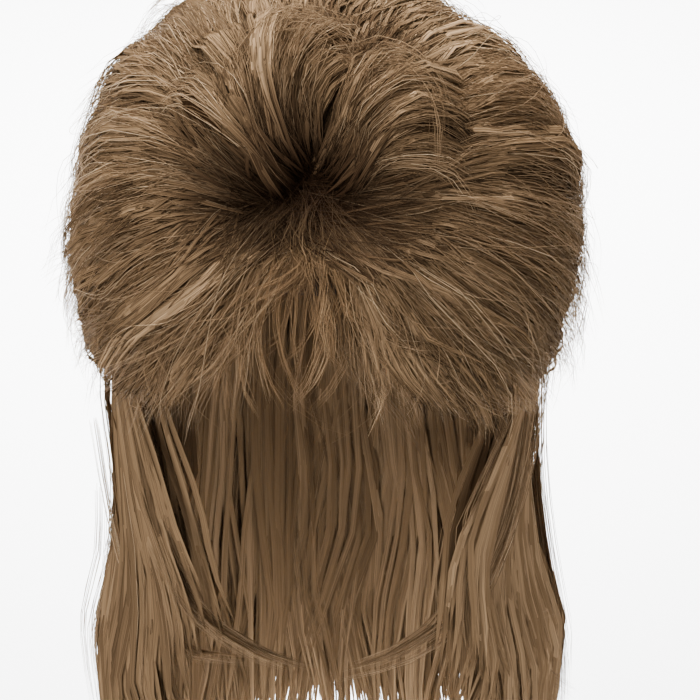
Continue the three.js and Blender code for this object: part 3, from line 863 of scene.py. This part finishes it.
def core_finish(name, colour_dark, colour_light):
    """Massed fibre deep under the outer locks, matt, coloured darker than the hair's own colour as painted
    shade for the depth under the locks. Its combed grain is 1.1 mm across and 11 mm along, coarser than
    single fibres, which don't show there."""
    material, shader = new_material(name)
    place = add_node(material, "ShaderNodeTexCoord")
    spread = add_node(
        material, "ShaderNodeMapping", {"Scale": (900, 900, 90)}, {"Vector": place.outputs["Object"]}
    )
    grain = add_node(
        material,
        "ShaderNodeTexNoise",
        {"Scale": 1.0, "Detail": 3.0, "Roughness": 0.6},
        {"Vector": spread.outputs["Vector"]},
    )
    tone = add_node(material, "ShaderNodeValToRGB", links={"Fac": grain.outputs["Fac"]})
    set_ramp(tone, [(0.35, colour_dark), (0.8, colour_light)])
    material.node_tree.links.new(tone.outputs["Color"], shader.inputs["Base Color"])
    bump = add_node(
        material, "ShaderNodeBump", {"Strength": 0.5, "Distance": 0.0005}, {"Height": grain.outputs["Fac"]}
    )
    material.node_tree.links.new(bump.outputs["Normal"], shader.inputs["Normal"])
    shader.inputs["Roughness"].default_value = 0.9
    shader.inputs["Specular IOR Level"].default_value = 0.0
    return material


def net_finish(name):
    """Knitted stretch net in dark brown, matt, with rows of sewn weft 12 mm apart and holes of
    2 mm, drawn coarser than the real 1 mm."""
    material, shader = new_material(name)
    place = add_node(material, "ShaderNodeTexCoord")
    weft = add_node(
        material,
        "ShaderNodeTexWave",
        {"wave_type": "BANDS", "bands_direction": "Z", "Scale": 26.0, "Distortion": 0.6, "Detail": 1.0},
        {"Vector": place.outputs["Object"]},
    )
    mesh_holes = add_node(
        material,
        "ShaderNodeTexVoronoi",
        {"feature": "DISTANCE_TO_EDGE", "Scale": 520.0},
        {"Vector": place.outputs["Object"]},
    )
    tone = add_node(material, "ShaderNodeValToRGB", links={"Fac": weft.outputs["Fac"]})
    set_ramp(tone, [(0.0, "#221a14"), (0.8, "#2e231b"), (1.0, "#3d2f25")])
    material.node_tree.links.new(tone.outputs["Color"], shader.inputs["Base Color"])
    bump = add_node(
        material,
        "ShaderNodeBump",
        {"Strength": 0.5, "Distance": 0.0005},
        {"Height": mesh_holes.outputs["Distance"]},
    )
    ridge = add_node(
        material,
        "ShaderNodeBump",
        {"Strength": 0.7, "Distance": 0.0012},
        {"Height": weft.outputs["Fac"], "Normal": bump.outputs["Normal"]},
    )
    material.node_tree.links.new(ridge.outputs["Normal"], shader.inputs["Normal"])
    shader.inputs["Roughness"].default_value = 0.85
    return material


def plain_finish(name, colour, roughness):
    material, shader = new_material(name)
    shader.inputs["Base Color"].default_value = linear(colour)
    shader.inputs["Roughness"].default_value = roughness
    return material


# The hair's tones, from shaded to sunlit brown, and the fringe's, warmer and lighter.
HAIR_TONES = [(0.0, "#2f2419"), (0.25, "#554330"), (0.5, "#786046"), (0.75, "#9c8061"), (1.0, "#cbb08d")]
FRINGE_TONES = [(0.0, "#3d2e1f"), (0.3, "#705840"), (0.6, "#9a7b59"), (1.0, "#cbac85")]
# Light brown with dark roots: the roots are partly the fibre's own colour and partly painted shade, which
# gives the crown its depth round the whorl. The strips' strong streaks stand for many fibres, and the long
# hair's weaker ones make it look smoother.
SHORT_FIBRE = fibre_finish("drawn_fibre_light_brown", HAIR_TONES, "#2b1d13", 0.31)
SHORT_STRIP = fibre_finish("combed_fibre_light_brown", HAIR_TONES, "#2b1d13", 0.31, 105, 0.9)
FRINGE_FIBRE = fibre_finish("drawn_fibre_fringe_brown", FRINGE_TONES, "#1a110b", 0.3)
LONG_FIBRE = fibre_finish("drawn_fibre_ash_brown", HAIR_TONES, "#2a1e14", 0.12)
LONG_STRIP = fibre_finish("combed_fibre_ash_brown", HAIR_TONES, "#2a1e14", 0.12, 115, 0.3)
# What shows between the outer locks is drawn darker than the hair as painted shade: nearly black under the
# short hair, brown in the tails.
CORE = core_finish("massed_fibre_brown_painted_shade", "#20160e", "#43311f")
LONG_CORE = core_finish("massed_fibre_ash_brown_painted_shade", "#4a3929", "#705a43")
# The dark cap that shows from below, and the pale ground that the light comes back from.
NET = net_finish("stretch_net_dark_brown")
FLOOR = plain_finish("matt_paper_white", "#fbfbfb", 0.9)

rng = np.random.default_rng(SEED)
crown = sweep_guides(CROWN_SWEEPS, CROWN_LIFT, tip_share=0.88)
crest_right, crest_left = crest_guides(CREST_RIGHT), crest_guides(CREST_LEFT)

# The cap: a smooth thin net shell.
bm = bmesh.new()
add_dome(bm, lambda azimuth, polar: 0.0, lambda azimuth, polar: CAP_WALL, cap_polar)
dress(piece_from("cap_net", bm, NET), "cap_net", "cap")

# The crown's core: the backing and a soft lock inside each lock of fibres.
bm = bmesh.new()
add_dome(bm, lambda azimuth, polar: CAP_WALL + CAP_GAP, backing_depth, core_polar)
core_locks(bm, crown, width=0.026, thickness=0.010, sink=0.009)
core_locks(bm, crest_right, width=0.018, thickness=0.010, sink=0.009, span=(0.4, 0.95))
core_locks(bm, crest_left, width=0.018, thickness=0.010, sink=0.009, span=(0.4, 0.95))
dress(piece_from("crown_core", bm, CORE), "hair_short", "crown_hair")

# The crown's hair: under rows down to the hem, the long sweeps, and the two crests at the whorl.
UNDER_SWEEPS = [
    (turn, turn, turn - 4 * np.sign(turn), 34, 1.02, 1.05) for turn in np.linspace(-140, 140, 21)
]
under = sweep_guides(UNDER_SWEEPS, UNDER_LIFT, tip_share=0.9)
# The crest hair's stretch of 0.62 carries the dark root colour further up the crest fibres, as painted shade
# in the cleft between the crests.
CREST_HAIR = {"first": (0.9, 0.3), "last": (0.8, 1.02), "bend": 0.004, "cleft_shade_stretch": 0.62, "scatter": 0.0035}
CRESTS = {
    "right": (crest_right, crest_guides(RIM_RIGHT)),
    "left": (crest_left, crest_guides(RIM_LEFT)),
}
# Where the fibres of each third of the crown end, as shares of the way along their guides.
spans = {"right": (0.78, 1.03), "top": (0.6, 1.03), "left": (0.78, 1.03)}
for label, low, high, counts in (
    ("right", 0, 8, (1600, 1800)), ("top", 7, 14, (1050, 1150)), ("left", 13, 21, (1600, 1800))
):
    strips = [
        whorl_fibres(
            rng, crown[low:high], counts[0], first=(0.85, 0.35), last=spans[label], bunch=22, bend=0.008,
            slow=0.003, tone=0.4, flick=0.005,
        )
    ]
    fibres = [
        whorl_fibres(
            rng, crown[low:high], counts[1], first=(0.85, 0.4), last=spans[label], rings=8, bunch=9,
            bend=0.011, slow=0.004, own=0.0012, depth=0.0004, tone=0.59, flick=0.009, own_tone=0.16,
            lumps=0.2,
        )
    ]
    if label == "top":
        strips.append(whorl_fibres(rng, crest_guides(CLEFT), 90, bunch=9, tone=0.4, furrow=0, **CREST_HAIR))
    else:
        crest, rim = CRESTS[label]
        strips.append(whorl_fibres(rng, crest, 420, tone=0.4, **CREST_HAIR))
        fibres += [
            whorl_fibres(
                rng, crest, 560, rings=8, bunch=9, depth=0.0005, tone=0.57, own_tone=0.15, **CREST_HAIR
            ),
            whorl_fibres(rng, rim, 30, bunch=3, bend=0.004, depth=0.001, rings=10, tone=0.6),
        ]
    dress(strip_mesh("crown_locks_" + label, strips, SHORT_STRIP), "hair_short", "crown_hair")
    dress(fibre_mesh("crown_fibres_" + label, fibres, SHORT_FIBRE), "hair_short", "crown_hair")
strips = whorl_fibres(
    rng, under, 1300, first=(0.9, 0.2), last=(0.7, 1.05), bunch=14, pull=0.4, bend=0.007, tone=0.42
)
dress(strip_mesh("crown_under_locks", [strips], SHORT_STRIP), "hair_short", "crown_hair")
fibres = whorl_fibres(
    rng, under, 350, first=(0.5, 0.5), rings=8, bunch=8, own=0.001, depth=0.0005, tone=0.55
)
dress(fibre_mesh("crown_under_fibres", [fibres], SHORT_FIBRE), "hair_short", "crown_hair")

# Short fibres round the whorl, dark all along with the root colour, which is partly painted shade, and loose
# single ones over the crown.
ROOT_SWEEPS = [(turn, turn, turn, 2, 0.36, 0.75) for turn in np.linspace(-178, 178, 25)]
roots = sweep_guides(ROOT_SWEEPS, UNDER_LIFT, tip_share=0.9, stations=4)
points, tone, t = whorl_fibres(
    rng, roots, 380, bunch=3, rings=5, last=(0.6, 1.05), bend=0.003, slow=0.001, loose=0.5, tone=0.35,
    scatter=0.007, furrow=0,
)
groups = [(points, tone, t * 0.28), stray_fibres(rng, crown, 240)]
for path in CURLS:
    guides = crest_guides([path, [(away, turn + 5, lift - 2) for away, turn, lift in path]])
    groups.append(
        whorl_fibres(
            rng, guides, 26, bunch=4, first=(1.0, 0.1), last=(0.85, 1.02), rings=9, depth=0.0005,
            bend=0.003, slow=0.0015, tuck=0, scatter=0.002, furrow=0,
        )
    )
dress(fibre_mesh("crown_stray_fibres", groups, SHORT_FIBRE, radius=STRAY_RADIUS), "hair_short", "crown_hair")

# The fringe: dense at the whorl, thin and see-through over the forehead.
FRINGE_ROWS = [(*row[:3], 6, row[3] * 1.1, 1.2) for row in FRINGE_SWEEPS]
fringe = sweep_guides(FRINGE_ROWS, FRINGE_LIFT, tip_share=1.0)
groups = [
    whorl_fibres(
        rng, fringe, 400, bunch=7, last=(0.7, 1.04), rings=9, depth=0.001, bend=0.012, slow=0.003, tuck=0,
        loose=0.15, pull=0.75, tone=0.58, furrow=0.001,
    ),
    whorl_fibres(
        rng, fringe, 700, bunch=10, last=(0.3, 0.52), depth=0.001, bend=0.004, tuck=0, furrow=0.001
    ),
]
dress(fibre_mesh("fringe_fibres", groups, FRINGE_FIBRE, radius=FRINGE_RADIUS), "hair_fringe", "fringe")

# The side hair over the temples and ears, and the back hair over the roots of the long hair.
for label, side in (("left", 1), ("right", -1)):
    rows = [
        (side * (turn + 3), side * turn, side * (turn - 7), 46, 1.07, 1.0)
        for turn in (106, 113, 120, 127, 134)
    ]
    guides = sweep_guides(rows, SIDE_LIFT, tip_share=0.7)
    strips = whorl_fibres(rng, guides, 420, first=(0.7, 0.4))
    dress(strip_mesh("side_locks_" + label, [strips], SHORT_STRIP), "hair_short", "side_hair_" + label)
    fibres = whorl_fibres(rng, guides, 350, rings=8, bunch=8, own=0.0009, tone=0.58)
    dress(fibre_mesh("side_fibres_" + label, [fibres], SHORT_FIBRE), "hair_short", "side_hair_" + label)
BACK_SWEEPS = [(turn, turn, turn, 50, 1.36, 1.1) for turn in np.linspace(-104, 104, 15)]
guides = sweep_guides(BACK_SWEEPS, BACK_LIFT, tip_share=0.9)
rows = [(0.55, 0.85), (0.78, 1.03)]
groups = [
    whorl_fibres(
        rng, guides, 640, first=(0.3, 0.35), last=last, bunch=8, bend=0.006, tone=0.42, furrow=0.002
    )
    for last in rows
]
OVER_SWEEPS = [(turn, turn, turn, 46, 1.22, 1.3) for turn in np.linspace(-104, 104, 15)]
guides = sweep_guides(OVER_SWEEPS, BACK_LIFT, tip_share=1.05)
groups.append(
    whorl_fibres(
        rng, guides, 320, first=(1.0, 0.1), last=(0.7, 1.0), bunch=6, tone=0.42, furrow=0, depth=0.0008
    )
)
dress(strip_mesh("back_locks", groups, SHORT_STRIP, BACK_STRIP, 0.15), "hair_short", "back_hair")

# The long hair.
for label, side in (("left", 1), ("right", -1)):
    for place, rows, counts in (("", TAIL_SIDE_LOCKS, (320, 350)), ("back_", TAIL_BACK_LOCKS, (240, 120))):
        guides = tail_guides(rows, side)
        node = "tail_" + place + label
        bm = bmesh.new()
        for number, row in enumerate(rows):
            places = along(guides, np.full(9, number), np.linspace(0, 0.72, 9))
            add_lock(bm, hang(*places.T), row[5] * LOCK_WIDTH * 0.6, TAIL_THICKNESS * 0.3)
        dress(piece_from("tail_" + place + "core_" + label, bm, LONG_CORE), "hair_long", node)
        if place:
            guides = tail_guides([*rows, MIDDLE_LOCK], side)
        low = guides if place else guides[1:]
        # The side that faces the key light is drawn darker, since it is lit more.
        shade = 0.5 if place or side > 0 else 0.38
        groups = [
            hanging_fibres(rng, guides, counts[0], tone=shade),
            hanging_fibres(rng, low, counts[0], last=(0.9, 1.03), tone=shade),
        ]
        centre = HEAD_CENTRE if place else TAIL_CENTRE
        name = "tail_" + place + "locks_" + label
        locks = strip_mesh(name, groups, LONG_STRIP, TAIL_STRIP, 0.12, 0.78, centre)
        dress(locks, "hair_long", node)
        if not place:
            groups = [swept_fibres(rng, side, 24, 6, 1.2, CHIN_WISP)]
            for count, *sweep in TAIL_SWEEPS[label]:
                groups.append(swept_fibres(rng, side, count // 3, *sweep))
            wisps = strip_mesh("tail_wisps_" + label, groups, LONG_STRIP, WISP_STRIP, 0.2)
            dress(wisps, "hair_long", node)
        groups = [
            hanging_fibres(rng, guides, counts[1], 8),
            hanging_fibres(rng, low, counts[1], 8, (0.9, 1.03)),
        ]
        if not place:
            groups.append(swept_fibres(rng, side, 80, 7, 1.2, CHIN_WISP, rings=10))
            for count, *sweep in TAIL_SWEEPS[label]:
                groups.append(swept_fibres(rng, side, count // 2, *sweep))
        dress(fibre_mesh("tail_" + place + "fibres_" + label, groups, LONG_FIBRE), "hair_long", node)

# The stage.
FLOOR_LEVEL = -0.6
bm = bmesh.new()
bmesh.ops.create_grid(
    bm, x_segments=1, y_segments=1, size=6, matrix=Matrix.Translation((0, 3, FLOOR_LEVEL))
)
floor = piece_from("floor", bm, FLOOR)


def aim(thing, at):
    """Turns a camera or a light to look at a point."""
    way = Vector(at) - thing.location
    thing.rotation_euler = way.to_track_quat("-Z", "Y").to_euler()


def add_light(name, place, at, size, watts, spread=180):
    data = bpy.data.lights.new(name, "AREA")
    data.shape = "DISK"
    data.size = size
    data.energy = watts
    data.spread = math.radians(spread)
    light = bpy.data.objects.new(name, data)
    light.location = place
    aim(light, at)
    bpy.context.collection.objects.link(light)


add_light("key_softbox", (-1.1, -1.1, 1.2), (0, 0, -0.1), 0.7, 35)
add_light("top_softbox", (-0.3, 0.5, 1.5), (0, 0, -0.1), 0.7, 10)
add_light("floor_softbox", (0.0, 1.2, 1.4), (0, 1.1, -0.6), 1.6, 120, 80)

world = bpy.data.worlds.new("studio_white")
bpy.context.scene.world = world
world.use_nodes = True
world.node_tree.nodes["Background"].inputs["Color"].default_value = linear("#ffffff")
world.node_tree.nodes["Background"].inputs["Strength"].default_value = 0.7

# The camera looks down 30 degrees at the front, and the frame is set low and to the left.
VIEW_RISE = math.radians(30)
VIEW_DISTANCE = 0.9
camera_data = bpy.data.cameras.new("camera")
camera_data.lens = 115.6
camera_data.sensor_width = 36
camera = bpy.data.objects.new("camera", camera_data)
bpy.context.collection.objects.link(camera)
look = Vector((0, math.cos(VIEW_RISE), -math.sin(VIEW_RISE)))
rise = Vector((0, math.sin(VIEW_RISE), math.cos(VIEW_RISE)))
middle = Vector(HEAD_CENTRE)
camera.location = middle - look * VIEW_DISTANCE
aim(camera, middle + Vector((0.0104, 0, 0)) - rise * 0.0284)
bpy.context.scene.camera = camera
